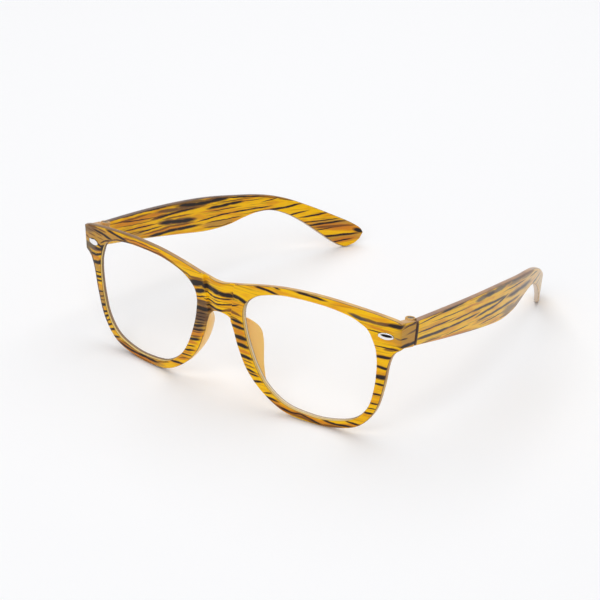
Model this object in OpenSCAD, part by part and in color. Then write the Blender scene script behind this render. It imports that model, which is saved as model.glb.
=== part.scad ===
/* [Front] */
// Half of the width across the two outer corners of the front
front_half = 72.7; // [66:0.1:78]
// Height of the front on its printed face
front_height = 51.4; // [46:0.1:56]
// Radius of the sideways bow of the front
front_bow = 330; // [220:5:600]
// Lean of the front, top forward, when it stands on the table, in degrees
front_tilt = 2.1; // [0:0.1:4]
// Depth of the rims from the printed face to the back
rim_depth = 2.4; // [2.3:0.1:3.4]
// Rounding of the outer edges of the front
edge_round = 0.6; // [0.3:0.05:0.8]
// Height of the end pieces on the printed face
end_height = 9.8; // [9:0.1:10.5]

/* [Lenses] */
// Depth of the lens edge behind the printed face
lens_depth = 1.5; // [1.1:0.05:1.6]
// Depth of the groove that holds a lens
groove_depth = 0.6; // [0.4:0.05:0.8]
// Half width of the groove at its mouth
groove_half = 0.5; // [0.4:0.05:0.55]
// How far a lens stands forward at its middle
lens_crown = 0.9; // [0:0.1:1.4]
// Half thickness of a lens at its edge
lens_half = 0.5; // [0.4:0.05:0.6]

/* [Nose pads] */
// How far the pads stand behind the rims
pad_reach = 8; // [6:0.1:10]
// Height of the lower end of the pads on the front
pad_low = 5; // [3:0.5:8]
// Height at which the pads stand furthest back
pad_crest = 23.3; // [20:0.1:26]
// Sideways lean of the pads for each millimetre of height
pad_lean = 0.18; // [0.1:0.01:0.2]
// Thickness of a pad along its rear edge
pad_edge = 1.4; // [1:0.1:2]

/* [Hinges] */
// Distance of the hinge axis inward from the outer corner of the front
hinge_inset = 2.2; // [1.6:0.1:3]
// How far an end piece and its temple stand outward of that corner
end_flare = 0.8; // [0.4:0.1:1.4]
// Distance of the hinge axis behind the middle of the front
hinge_y = 14.8; // [14:0.1:17]
// Radius of the hinge knuckles
knuckle_r = 1.9; // [1.6:0.05:2]
// Top of the middle knuckle above the middle of the hinge
knuckle_top = 2.1; // [1:0.1:2.5]
// Bottom of the middle knuckle below the middle of the hinge
knuckle_low = 1.3; // [1:0.1:2.5]
// Gap between an end piece and its temple, seen from the side
hinge_gap = 0.8; // [0.6:0.1:1.2]
// Radius of the screw shank
screw_r = 0.7; // [0.5:0.05:0.8]
// Radius of the screw head
screw_head_r = 1.2; // [1:0.05:1.4]

/* [Temples] */
// Length of a temple from the hinge axis to the far end of its tip
temple_length = 143; // [130:1:150]
// Thickness of a temple at the hinge
temple_thick = 3; // [2.6:0.1:3.4]
// Thickness of a temple at its tip
tip_thick = 2; // [1.8:0.1:2.6]
// Outward angle at which a temple leaves the hinge, in degrees
temple_flare = 2.6; // [1:0.1:4]
// Inward bow of a temple at its tip
bow_depth = 30; // [15:1:34]
// Length over which the bow grows
bow_length = 137; // [130:1:145]
// Angle by which the temple on the left of the wearer stands open past square
left_splay = 1.5; // [-2:0.1:2]
// Angle by which the temple on the right of the wearer stands open past square
right_splay = -1.5; // [-2:0.1:2]

/* [Shields] */
// Length of a shield
shield_length = 5.8; // [5:0.1:7]
// Height of a shield
shield_height = 2.6; // [2:0.1:3.4]
// Distance of the middle of a shield inward from the outer corner of the front
shield_inset = 5.4; // [4.5:0.1:6]
// Depth of the pocket that a shield sits in
shield_seat = 0.4; // [0.2:0.05:0.6]

/* [Clearances] */
// Air between a lens and its groove
lens_fit = 0.1; // [0.05:0.01:0.15]
// Air round a screw in the knuckle that turns on it
turn_fit = 0.05; // [0.02:0.01:0.08]
// Air round a pressed pin, a shield or a tight thread
press_fit = 0.02; // [0.01:0.01:0.05]
// Air between neighbouring knuckles along the axis
side_fit = 0.15; // [0.1:0.05:0.3]
// Air round a knuckle in the pocket of its neighbour
pocket_fit = 0.3; // [0.2:0.05:0.4]

/* [Hidden] */

amber = "#e6a21e";
plain_amber = "#e8b65a";
steel = "silver";
clear = [0.86, 0.92, 0.94, 0.35];
// Left and right are those of the wearer; the left half lies on the +X side
LEFT = 1;
RIGHT = -1;

// Points of a smooth run from b to c, with a and d as the neighbours that give the slopes
function run(a, b, c, d, n) = [for (i = [0:n - 1]) let (t = i / n)
    0.5 * (2 * b + (c - a) * t + (2 * a - 5 * b + 4 * c - d) * t * t + (3 * b - a - 3 * c + d) * t * t * t)];
function join(lists) = [for (l = lists) each l];
// A smooth open curve through p, with n steps between neighbours
function smooth(p, n) = let (k = len(p) - 1) concat(
    join([for (i = [0:k - 1])
        run(i > 0 ? p[i - 1] : 2 * p[0] - p[1], p[i], p[i + 1], i < k - 1 ? p[i + 2] : 2 * p[k] - p[k - 1], n)]),
    [p[k]]);
function unit(v) = v / norm(v);
function flip(p) = [-p[0], p[1]];
function drop_last(p) = [for (i = [0:len(p) - 2]) p[i]];

// The outlines are drawn for one size of front and follow its width and height
drawn = [72.7, 51.4];
wide = front_half / drawn[0];
tall = front_height / drawn[1];
function fitted(p) = [for (q = p) [q[0] * wide, q[1] * tall]];

// Outline of the left half of the front, printed face, from the top of the bridge round to its underside
end_top = 47.2 * tall;
end_low = end_top - end_height;
top_run = concat(fitted([[0, 45.8], [8, 47.1], [18, 49.3], [30, 51], [44, 51.2], [58, 50], [69, 48.3]]),
                 [[front_half, end_top]]);
side_run = [[front_half, end_top], [front_half, end_low]];
lower_run = concat([[front_half, end_low]], fitted([
    [69.9, 34.9], [68.2, 30.3], [66.6, 20.9], [63.6, 10.9], [57.3, 3.5], [47.4, 0.4], [37, 0], [27.4, 1.3],
    [18.6, 6.5], [11.9, 13.7], [8, 22.2], [6.1, 28.5], [4.2, 32.4], [0, 33.9]]));
bridge_run = fitted([[0, 33.9], [0, 37.9], [0, 41.8], [0, 45.8]]);
// Edge of the left opening, one point beside each point of the outline
opening_top = [[12, 40.7], [14.5, 43.2], [19.3, 45.8], [29, 48], [43, 48.1], [53.1, 46.5], [58.5, 44.1], [61, 41.9]];
opening_low = [[63.2, 36.8], [63.8, 33.6], [64, 28.8], [63.2, 20.5], [60.9, 12.1], [55.4, 5.9], [46.2, 3.1],
               [37.4, 2.8], [28.1, 4.4], [20.7, 9.4], [16.2, 15.8], [13.3, 22.8], [11.6, 28.6], [10.9, 32.6],
               [10.6, 35]];
opening_bridge = [[10.7, 36.9], [11.1, 38.8]];
opening_points = fitted(concat(opening_top, opening_low, opening_bridge));

STEPS = 3;
outer = concat(
    drop_last([for (i = [0:len(top_run) - 2]) each run(
        i > 0 ? top_run[i - 1] : flip(top_run[1]), top_run[i], top_run[i + 1],
        i < len(top_run) - 2 ? top_run[i + 2] : 2 * top_run[i + 1] - top_run[i], STEPS)]),
    [[front_half - edge_round, end_top + edge_round / 4]],
    drop_last(smooth(side_run, STEPS)),
    join([for (i = [0:len(lower_run) - 2]) run(
        i > 0 ? lower_run[i - 1] : 2 * lower_run[0] - lower_run[1], lower_run[i], lower_run[i + 1],
        i < len(lower_run) - 2 ? lower_run[i + 2] : flip(lower_run[i]), STEPS)]),
    drop_last(smooth(bridge_run, STEPS)));
count = len(outer);
opening = let (k = len(opening_points)) join([for (i = [0:k - 1]) run(
    opening_points[(i + k - 1) % k], opening_points[i], opening_points[(i + 1) % k], opening_points[(i + 2) % k],
    STEPS)]);

// Direction into the material, square to each curve
function turned(v) = unit([-v[1], v[0]]);
function opening_out(i) = turned(opening[(i + 1) % count] - opening[(i + count - 1) % count]);
function outline_in(i) = let (p = outer[i], a = outer[(i + count - 1) % count], b = outer[(i + 1) % count])
    p[0] > 0 ? -turned(b - a) : a[0] > 0 ? [0, 1] : b[0] > 0 ? [0, -1] : [0, 0];

// A place on the front: x and z on its printed face, and the depth behind that face
lowest = min([for (p = outer) p[1]]);
lift = -lowest * cos(front_tilt) - (37 * 37 / 2 / front_bow + 1.3) * sin(front_tilt);
function face_y(x) = x * x / 2 / front_bow;
function on_front(x, depth, z) = let (y = face_y(x) + depth)
    [x, y * cos(front_tilt) - z * sin(front_tilt), y * sin(front_tilt) + z * cos(front_tilt) + lift];

// Hinge: its middle lies at half the height of the end piece where the temple starts
hinge_x = front_half - hinge_inset;
hinge_level = (end_top + end_low) / 2 - 1.6;
hinge_z = on_front(hinge_x, 0, hinge_level)[2];

// Heights of the end piece and of the knuckles at the hinge, up and down from its middle
end_rise = 4.2;
end_drop = 4.45;
barrel_top = end_rise + 0.55;
barrel_low = -end_drop - 0.45;
head_depth = 0.9;

// Side view of a temple from the hinge axis: distance along it and height, upper and lower edge in pairs
temple_start = hinge_gap / 2;
long = temple_length / 143;
function stretched(p) = [for (q = p) [q[0] * long, q[1]]];
upper_edge = concat([[temple_start, end_rise - 0.1]], stretched([
    [23.6, 5.75], [47.8, 6.4], [64, 6.25], [79, 5.4], [88.4, 4.8], [96.6, 3.8], [105, 1.9], [113.4, -0.9],
    [122, -4.2], [130.6, -7.8], [137, -10.6], [141.4, -13.2], [143, -15.2]]));
lower_edge = concat([[temple_start, -end_drop]], stretched([
    [25.3, -6.1], [48, -7.7], [62, -8.4], [73.9, -7.3], [82, -5], [89.5, -3.2], [97.5, -3], [106, -5.5],
    [114.7, -10], [123, -15.4], [129.6, -19.8], [135.3, -22.3], [139.3, -21]]));
temple_end = stretched([[142.6, -17.3], [141.3, -19.6]]);
// The temples slope so that their heels rest on the table with the lower rims
heel = lower_edge[12];
// A little under the drawn heel point the outline bulges further, and the temple on the left of the wearer dips
heel_lift = 0.07;
temple_slope = asin((hinge_z - heel_lift) / norm(heel)) - atan2(-heel[1], heel[0]);

function bow(s) = s * tan(temple_flare) - bow_depth * pow(s / bow_length, 2.6);
function bow_rate(s) = tan(temple_flare) - bow_depth * 2.6 / bow_length * pow(s / bow_length, 1.6);
// Outer face of the temple from the hinge axis
temple_out = hinge_inset + end_flare;

// The object is centred front to back
front_y = on_front(0, 0, top_run[0][1])[1];
far = upper_edge[13];
far_x = temple_out + bow(far[0]);
far_s = far[0] * cos(left_splay) - far_x * sin(left_splay);
rear_y = hinge_y + far_s * cos(temple_slope) + far[1] * sin(temple_slope);
centre_y = (front_y + rear_y) / 2;

module in_place() {
    translate([0, -centre_y, 0]) children();
}
module on_side(side) {
    mirror([side == RIGHT ? 1 : 0, 0, 0]) children();
}
// The frame of a hinge: X outward, Y along the temple, Z along the axis
module at_hinge() {
    translate([hinge_x, hinge_y, hinge_z]) rotate([-temple_slope, 0, 0]) children();
}
// The frame of a shield: Z stands out of the printed face
shield_x = front_half - shield_inset;
shield_level = (end_top + end_low) / 2 - 0.5;
module at_shield() {
    translate(on_front(shield_x, 0, shield_level))
        rotate([90 + front_tilt, 0, 0]) rotate([0, atan(shield_x / front_bow), 0]) children();
}

// Skin over a row of closed sections of equal count, closed at both ends
module loft(sections) {
    m = len(sections[0]);
    k = len(sections);
    sides = [for (i = [0:k - 2]) for (j = [0:m - 1]) let (a = i * m + j, b = i * m + (j + 1) % m)
        each [[a, a + m, b], [b, a + m, b + m]]];
    first = [for (j = [1:m - 2]) [0, j, j + 1]];
    last = [for (j = [1:m - 2]) [(k - 1) * m, (k - 1) * m + j + 1, (k - 1) * m + j]];
    polyhedron(join(sections), concat(sides, first, last), convexity = 6);
}

// How far a pad stands out at height z, from its lower end over its crest to the underside of the bridge
pad_top = lower_run[len(lower_run) - 1][1];
function pad_height(z) = z <= pad_low || z >= pad_top ? 0 :
    pad_reach * (z < pad_crest ? sin(90 * (z - pad_low) / (pad_crest - pad_low))
                               : pow(sin(90 * (pad_top - z) / (pad_top - pad_crest)), 0.85));
function is_nasal(i) = outer[i][0] < 27 * wide && outer[i][1] < pad_top;

// One section through the rim, from the groove round the printed face and the back, which bulges into a nose pad
function rim_section(i) = let (
        o = opening[i], u = outer[i], a = opening_out(i), b = outline_in(i), e = edge_round, d = rim_depth,
        out = is_nasal(i) ? pad_height(u[1]) : 0, w = min(1, out / 1.5), h = pad_edge / 2, across = unit(o - u),
        x = max(h, pad_lean * (u[1] - 3.5)),
        back = [[u + b * e * 0.3, d - e * 0.3], [u + b * e, d], [u * 0.6 + o * 0.4, d], [u * 0.45 + o * 0.55, d],
                [u * 0.3 + o * 0.7, d]],
        pad = [[u + across * x * 0.3, d + out * 0.45], [u + across * (x - h), d + out - h * 0.8],
               [u + across * x, d + out], [u + across * (x + h), d + out - h * 0.9],
               [u + across * (x * 0.3 + h * 2.4), d + 0.6]],
        spots = concat(
            [[o + a * groove_depth, lens_depth], [o, lens_depth - groove_half], [o, 0.45], [o + a * 0.13, 0.13],
             [o + a * 0.45, 0], [u + b * e, 0], [u + b * e * 0.3, e * 0.3], [u, e], [u, d - e]],
            [for (k = [0:4]) back[k] * (1 - w) + pad[k] * w],
            [[o + a * 0.35, d], [o, d - 0.35], [o, lens_depth + groove_half]]))
    [for (s = spots) on_front(abs(s[0][0]) < 0.001 ? 0 : s[0][0], s[1], s[0][1])];

module shell() {
    half = join([for (i = [0:count - 1]) rim_section(i)]);
    total = len(half);
    m = total / count;
    points = concat(half, [for (p = half) [-p[0], p[1], p[2]]]);
    right = [for (i = [0:total - 1]) half[i][0] == 0 ? i : total + i];
    triangles = [for (i = [0:count - 1]) for (j = [0:m - 1]) let (
            a = i * m + j, b = i * m + (j + 1) % m,
            c = (i + 1) % count * m + j, d = (i + 1) % count * m + (j + 1) % m)
        each [[a, b, c], [b, d, c]]];
    open = [for (t = triangles) if (half[t[0]][0] + half[t[1]][0] + half[t[2]][0] > 0) t];
    polyhedron(points, concat(open, [for (t = open) [right[t[0]], right[t[2]], right[t[1]]]]), convexity = 10);
}

// Rounded rectangle from corner a to corner b with corner radius r, as a list of points
function plate(a, b, r) = [for (k = [0:3]) for (t = [0, 45, 90]) let (
        q = [[b[0] - r, b[1] - r], [a[0] + r, b[1] - r], [a[0] + r, a[1] + r], [b[0] - r, a[1] + r]][k])
    q + r * [cos(t + k * 90), sin(t + k * 90)]];

// End piece: runs back from the outer corner of the front to the hinge
end_in = hinge_x - 0.6;
module end_piece() {
    inset = 0.04;
    root = plate([front_half - 4, end_low + inset], [front_half - inset, end_top - inset], edge_round);
    rear = plate([end_in - hinge_x, -end_drop], [temple_out, end_rise], edge_round);
    c = cos(temple_slope);
    s = sin(temple_slope);
    start = [for (p = root) on_front(p[0], rim_depth * 0.5, p[1])];
    finish = [for (p = rear) [hinge_x + p[0], hinge_y - temple_start * c + p[1] * s, hinge_z + temple_start * s + p[1] * c]];
    loft([finish, start]);
}

// A knuckle of the hinge with a web toward the piece that carries it
module knuckle(low, high, web) {
    translate([0, 0, low]) cylinder(r = knuckle_r, h = high - low, $fn = 48);
    translate([0, web > 0 ? 0 : web, low]) cube([knuckle_r * 0.9, abs(web), high - low]);
}

// The moulded body without its hinge details: rims, bridge, pads and end pieces joined as one faceted body
module moulding() {
    resize([0, 0, 0]) union() {
        shell();
        for (side = [LEFT, RIGHT]) on_side(side) end_piece();
    }
}

module front_frame() {
    web = 2.4;
    color(amber) in_place() difference() {
        union() {
            moulding();
            for (side = [LEFT, RIGHT]) on_side(side) at_hinge() knuckle(barrel_low, barrel_top, -web);
        }
        for (side = [LEFT, RIGHT]) on_side(side) {
            at_hinge() {
                // Pocket for the middle knuckle of the temple
                translate([0, 0, -knuckle_low - side_fit])
                    cylinder(r = knuckle_r + pocket_fit, h = knuckle_top + knuckle_low + 2 * side_fit, $fn = 48);
                // Clear bore above, tight bore below and a seat for the screw head
                cylinder(r = screw_r + turn_fit, h = barrel_top, $fn = 48);
                translate([0, 0, barrel_low + 0.8])
                    cylinder(r = screw_r + press_fit, h = -barrel_low - 0.8, $fn = 48);
                translate([0, 0, barrel_top - head_depth])
                    cylinder(r = screw_head_r + press_fit, h = 2 * head_depth, $fn = 48);
            }
            at_shield() {
                translate([0, 0, -shield_seat]) shield_outline(press_fit, 3);
                shield_pins(press_fit, 1.7);
            }
        }
    }
}

// Almond outline of a shield with blunt ends, grown by fit, and h high
module shield_outline(fit, h) {
    a = shield_length / 2 + 0.5;
    b = shield_height / 2;
    r = (a * a + b * b) / 2 / b;
    intersection() {
        translate([0, b - r, 0]) cylinder(r = r + fit, h = h, $fn = 96);
        translate([0, r - b, 0]) cylinder(r = r + fit, h = h, $fn = 96);
        cylinder(r = shield_length / 2 + fit, h = h, $fn = 96);
    }
}
module shield_pins(fit, h) {
    for (x = [-1.5, 1.5]) translate([x, 0, -h]) cylinder(r = 0.4 + fit, h = h, $fn = 32);
}
module shield(side) {
    dome_r = 12;
    proud = 0.45;
    color(steel) in_place() on_side(side) at_shield() union() {
        intersection() {
            translate([0, 0, -shield_seat + press_fit]) shield_outline(0, 2);
            translate([0, 0, proud - dome_r]) sphere(r = dome_r, $fn = 96);
        }
        translate([0, 0, -0.05]) shield_pins(0, 1.5);
    }
}

// Lens: rings from the bevel to the middle, on the front and then on the back
LENS_RINGS = [1, 0.7, 0.35];
lens_mid = fitted([[37.5, 26.3]])[0];
module lens(side) {
    bevel = [for (i = [0:count - 1]) let (p = opening[i] + opening_out(i) * (groove_depth - lens_fit))
        on_front(p[0], lens_depth, p[1])];
    inner = [for (i = [0:count - 1]) opening[i] - opening_out(i) * lens_fit];
    function ring(f, half) = [for (p = inner) let (q = lens_mid + (p - lens_mid) * f)
        on_front(q[0], lens_depth + half - lens_crown * (1 - f * f), q[1])];
    front_middle = on_front(lens_mid[0], lens_depth - lens_half - lens_crown, lens_mid[1]);
    back_middle = on_front(lens_mid[0], lens_depth + lens_half - lens_crown, lens_mid[1]);
    k = len(LENS_RINGS);
    rings = concat([for (i = [k - 1:-1:0]) ring(LENS_RINGS[i], -lens_half)], [bevel],
                   [for (f = LENS_RINGS) ring(f, lens_half)]);
    rows = len(rings);
    points = concat(join(rings), [front_middle, back_middle]);
    skin = [for (i = [0:rows - 2]) for (j = [0:count - 1]) let (a = i * count + j, b = i * count + (j + 1) % count)
        each [[a, a + count, b], [b, a + count, b + count]]];
    caps = [for (j = [0:count - 1]) let (n = (j + 1) % count, z = (rows - 1) * count)
        each [[rows * count, j, n], [rows * count + 1, z + n, z + j]]];
    color(clear) in_place() on_side(side) polyhedron(points, concat(skin, caps), convexity = 4);
}

// Section of a temple between an upper and a lower point: a tall plate with rounded edges
function temple_section(up, low, thick, ease) = let (
        h = norm(up - low), e = ease, r = min(thick * 0.42, 0.9),
        flat = plate([e, e], [thick - e, h - e], r - e * 0.5),
        dir = (up - low) / h)
    [for (p = flat) let (q = low + dir * p[1], k = bow_rate(q[0]))
        [temple_out + bow(q[0]) - p[0] * sqrt(1 + k * k), q[0], q[1]]];
module temple_blade() {
    up = concat(smooth(upper_edge, 3), [temple_end[0]]);
    low = concat(smooth(lower_edge, 3), [temple_end[1]]);
    k = len(up) - 1;
    nose = 0.5;
    loft(concat(
        [temple_section(up[0], low[0], temple_thick, nose),
         temple_section(up[0] + [nose, 0], low[0] + [nose, 0], temple_thick, 0)],
        [for (i = [1:k]) temple_section(up[i], low[i],
            temple_thick + (tip_thick - temple_thick) * i / k, i == k ? 0.4 : 0)]));
}
module temple(side) {
    splay = side == LEFT ? left_splay : right_splay;
    color(amber) in_place() on_side(side) at_hinge() rotate([0, 0, -splay]) difference() {
        union() {
            difference() {
                temple_blade();
                // Room for the two knuckles of the front
                for (z = [-knuckle_low - 2 * end_drop, knuckle_top]) translate([0, 0, z])
                    cylinder(r = knuckle_r + pocket_fit, h = 2 * end_drop, $fn = 48);
            }
            knuckle(-knuckle_low, knuckle_top, 2.4);
        }
        translate([0, 0, barrel_low]) cylinder(r = screw_r + turn_fit, h = barrel_top - barrel_low, $fn = 48);
    }
}

// Screw with a flat slotted head, from above through the three knuckles
module hinge_screw(side) {
    slot = 0.35;
    color(steel) in_place() on_side(side) at_hinge() difference() {
        union() {
            translate([0, 0, barrel_low + 1]) cylinder(r = screw_r, h = barrel_top - barrel_low - 1.2, $fn = 48);
            translate([0, 0, barrel_top - head_depth + press_fit])
                cylinder(r = screw_head_r, h = head_depth - 0.15, $fn = 48);
        }
        translate([-2 * screw_head_r, -slot / 2, barrel_top - 0.5]) cube([4 * screw_head_r, slot, 2]);
    }
}

front_frame();
lens(LEFT);  // lens_left
lens(RIGHT);  // lens_right
temple(LEFT);  // temple_left
temple(RIGHT);  // temple_right
hinge_screw(LEFT);  // hinge_screw_left
hinge_screw(RIGHT);  // hinge_screw_right
shield(LEFT);  // shield_left
shield(RIGHT);  // shield_right
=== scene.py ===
from math import atan, atan2, copysign, cos, pi, radians, sin, sqrt, tan
import bmesh
import bpy
from mathutils import Matrix, Vector


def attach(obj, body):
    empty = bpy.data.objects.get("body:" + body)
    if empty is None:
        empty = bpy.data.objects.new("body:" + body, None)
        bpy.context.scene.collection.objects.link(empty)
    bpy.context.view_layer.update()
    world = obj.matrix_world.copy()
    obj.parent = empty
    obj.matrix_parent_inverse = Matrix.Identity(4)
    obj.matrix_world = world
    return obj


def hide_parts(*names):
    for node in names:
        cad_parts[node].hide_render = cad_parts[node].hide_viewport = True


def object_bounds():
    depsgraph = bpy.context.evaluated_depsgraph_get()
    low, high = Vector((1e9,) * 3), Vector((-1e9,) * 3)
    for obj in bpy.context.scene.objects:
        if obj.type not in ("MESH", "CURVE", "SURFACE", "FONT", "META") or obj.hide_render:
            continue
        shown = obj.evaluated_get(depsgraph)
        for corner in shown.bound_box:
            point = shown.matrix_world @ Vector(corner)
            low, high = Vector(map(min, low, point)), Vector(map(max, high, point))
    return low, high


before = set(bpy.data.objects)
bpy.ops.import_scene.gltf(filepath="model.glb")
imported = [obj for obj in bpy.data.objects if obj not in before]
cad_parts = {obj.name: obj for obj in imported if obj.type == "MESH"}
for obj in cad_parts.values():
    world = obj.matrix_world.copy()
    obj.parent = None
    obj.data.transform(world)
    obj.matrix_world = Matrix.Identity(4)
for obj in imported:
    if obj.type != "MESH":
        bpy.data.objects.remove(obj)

cad_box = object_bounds()

# Front: one moulding of amber plastic with a film of dark brown stripes on its face.
# It carries both rims, the bridge, the nose pads behind the rims, and the end pieces
# with the outer knuckles of the hinges.
MM = 0.001
HALF = 72.7  # half of the width across the outer corners
CENTRE_Y = 76.6034  # from the middle of the printed face back to the middle of the object
LIFT = -0.0311  # brings the lowest edge of the leaning front to the table
BOW = 330.0  # radius of the sideways bow
TILT = radians(2.1)
RIM_DEPTH, EDGE = 2.4, 0.6
OPENING_ROUND, REAR_BEVEL = 0.45, 0.35
LENS_DEPTH, GROOVE_DEPTH, GROOVE_HALF = 1.5, 0.6, 0.5
END_TOP, END_LOW = 47.2, 37.4
STEPS = 8  # steps between neighbouring points of an outline

top_run = [(0, 45.8), (8, 47.1), (18, 49.3), (30, 51), (44, 51.2), (58, 50), (69, 48.3), (HALF, END_TOP)]
side_run = [(HALF, END_TOP), (HALF, END_LOW)]
lower_run = [(HALF, END_LOW), (69.9, 34.9), (68.2, 30.3), (66.6, 20.9), (63.6, 10.9), (57.3, 3.5),
             (47.4, 0.4), (37, 0), (27.4, 1.3), (18.6, 6.5), (11.9, 13.7), (8, 22.2), (6.1, 28.5),
             (4.2, 32.4), (0, 33.9)]
bridge_run = [(0, 33.9), (0, 37.9), (0, 41.8), (0, 45.8)]
opening_run = [(12, 40.7), (14.5, 43.2), (19.3, 45.8), (29, 48), (43, 48.1), (53.1, 46.5), (58.5, 44.1),
               (61, 41.9), (63.2, 36.8), (63.8, 33.6), (64, 28.8), (63.2, 20.5), (60.9, 12.1),
               (55.4, 5.9), (46.2, 3.1), (37.4, 2.8), (28.1, 4.4), (20.7, 9.4), (16.2, 15.8),
               (13.3, 22.8), (11.6, 28.6), (10.9, 32.6), (10.6, 35), (10.7, 36.9), (11.1, 38.8)]


def run(a, b, c, d, steps):
    """Points of a smooth run from b towards c, with a and d as the neighbours on each side."""
    out = []
    for i in range(steps):
        t = i / steps
        out.append(0.5 * (2 * b + (c - a) * t + (2 * a - 5 * b + 4 * c - d) * t * t
                          + (3 * b - a - 3 * c + d) * t ** 3))
    return out


def smooth(points, steps, before=None, after=None):
    """A smooth open curve through the points."""
    p = [Vector(q) for q in points]
    first = Vector(before) if before else 2 * p[0] - p[1]
    last = Vector(after) if after else 2 * p[-1] - p[-2]
    ring = [first] + p + [last]
    out = []
    for i in range(len(p) - 1):
        out += run(ring[i], ring[i + 1], ring[i + 2], ring[i + 3], steps)
    return out + [p[-1]]


def mirrored(p):
    return (-p[0], p[1])


top = smooth(top_run, STEPS, before=mirrored(top_run[1]))[:-2]
top.append(Vector((HALF - EDGE, END_TOP + EDGE / 4)))
outer = (top + smooth(side_run, STEPS)[:-1]
         + smooth(lower_run, STEPS, after=mirrored(lower_run[-2]))[:-1]
         + smooth(bridge_run, STEPS)[:-1])
opening = []
for i in range(len(opening_run)):
    around = [Vector(opening_run[(i + k) % len(opening_run)]) for k in (-1, 0, 1, 2)]
    opening += run(*around, STEPS)
count = len(outer)


def turned(v):
    return Vector((-v[1], v[0])).normalized()


def opening_out(i):
    """The way from the edge of the opening into the plastic."""
    return turned(opening[(i + 1) % count] - opening[i - 1])


def outline_in(i):
    """The way from the outline into the plastic. On the middle plane of the bridge there is none."""
    p, a, b = outer[i], outer[i - 1], outer[(i + 1) % count]
    if p[0] > 1e-6:
        return -turned(b - a)
    if a[0] > 1e-6:
        return Vector((0, 1))
    return Vector((0, -1)) if b[0] > 1e-6 else Vector((0, 0))


def on_front(x, depth, z):
    """The place at x and z on the printed face and a depth behind it, in millimetres."""
    y = x * x / 2 / BOW + depth
    return Vector((x, y * cos(TILT) - z * sin(TILT) - CENTRE_Y,
                   y * sin(TILT) + z * cos(TILT) + LIFT))


PAD_REACH, PAD_LOW, PAD_CREST, PAD_SWEEP = 8.0, 5.0, 23.3, 0.85
PAD_LEAN, PAD_EDGE = 0.18, 1.4
PAD_TOP = lower_run[-1][1]
PAD_SIDE = 27  # the pads lie nearer to the middle than this
PAD_ROOT = 3.5  # height at which their sideways lean begins
PAD_BLEND = 1.5  # height over which the flat back of a rim turns into a pad


def pad_height(z):
    if z <= PAD_LOW or z >= PAD_TOP:
        return 0.0
    if z < PAD_CREST:
        return PAD_REACH * sin(pi / 2 * (z - PAD_LOW) / (PAD_CREST - PAD_LOW))
    return PAD_REACH * sin(pi / 2 * (PAD_TOP - z) / (PAD_TOP - PAD_CREST)) ** PAD_SWEEP


def arc(corner, first, second, radius, steps=4):
    """Rounds a corner between two square directions, from the first leg to the second."""
    out = []
    for k in range(steps + 1):
        t = pi / 2 * k / steps
        out.append(corner + first * radius * (1 - sin(t)) + second * radius * (1 - cos(t)))
    return out


def blend(first, second, share):
    return [p * (1 - share) + q * share for p, q in zip(first, second)]


def rim_section(i):
    """A closed section through the plastic between opening and outline, each point with x, depth and z.
    It runs from the lens groove over the printed face to the outline and back behind, over the pad."""
    hole, rim, from_hole, from_rim = opening[i], outer[i], opening_out(i), outline_in(i)

    def spot(p, depth):
        return Vector((p[0], depth, p[1]))

    def on_pad(reach, depth):
        return spot(rim + across * reach, RIM_DEPTH + depth)

    high = pad_height(rim[1]) if rim[0] < PAD_SIDE and rim[1] < PAD_TOP else 0.0
    padded = min(1.0, high / PAD_BLEND)
    half_edge = PAD_EDGE / 2
    across = (hole - rim).normalized()
    crest = max(half_edge, PAD_LEAN * (rim[1] - PAD_ROOT))
    flat = [spot(rim + from_rim * EDGE * 0.3, RIM_DEPTH - EDGE * 0.3),
            spot(rim + from_rim * EDGE, RIM_DEPTH)]
    flat += [spot(rim * (1 - f) + hole * f, RIM_DEPTH) for f in (0.4, 0.55, 0.7)]
    pad = [on_pad(crest * 0.3, high * 0.45), on_pad(crest - half_edge, high - half_edge * 0.8),
           on_pad(crest, high), on_pad(crest + half_edge, high - half_edge * 0.9),
           on_pad(crest * 0.3 + half_edge * 2.4, 0.6)]
    rear = [spot(rim, RIM_DEPTH - EDGE)] + blend(flat, pad, padded)
    rear.append(spot(hole + from_hole * REAR_BEVEL, RIM_DEPTH))
    straight = [rear[k // 3].lerp(rear[min(k // 3 + 1, 6)], k % 3 / 3) for k in range(19)]
    deep = Vector((0, 1, 0))
    return ([spot(hole + from_hole * GROOVE_DEPTH, LENS_DEPTH), spot(hole, LENS_DEPTH - GROOVE_HALF)]
            + arc(spot(hole, 0), spot(from_hole, 0), deep, OPENING_ROUND)[::-1]
            + arc(spot(rim, 0), spot(from_rim, 0), deep, EDGE) + blend(straight, smooth(rear, 3), padded)
            + [spot(hole, RIM_DEPTH - REAR_BEVEL), spot(hole, LENS_DEPTH + GROOVE_HALF)])


def add_object(name, data):
    obj = bpy.data.objects.new(name, data)
    bpy.context.scene.collection.objects.link(obj)
    return obj


def new_solid(name, verts, faces):
    """A solid from points in millimetres: joins points that meet and turns all faces outward."""
    mesh = bpy.data.meshes.new(name)
    mesh.from_pydata([v * MM for v in verts], [], faces)
    mesh.update()
    shape = bmesh.new()
    shape.from_mesh(mesh)
    bmesh.ops.remove_doubles(shape, verts=shape.verts, dist=1e-6)
    bmesh.ops.recalc_face_normals(shape, faces=shape.faces)
    shape.to_mesh(mesh)
    shape.free()
    return add_object(name, mesh)


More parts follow.
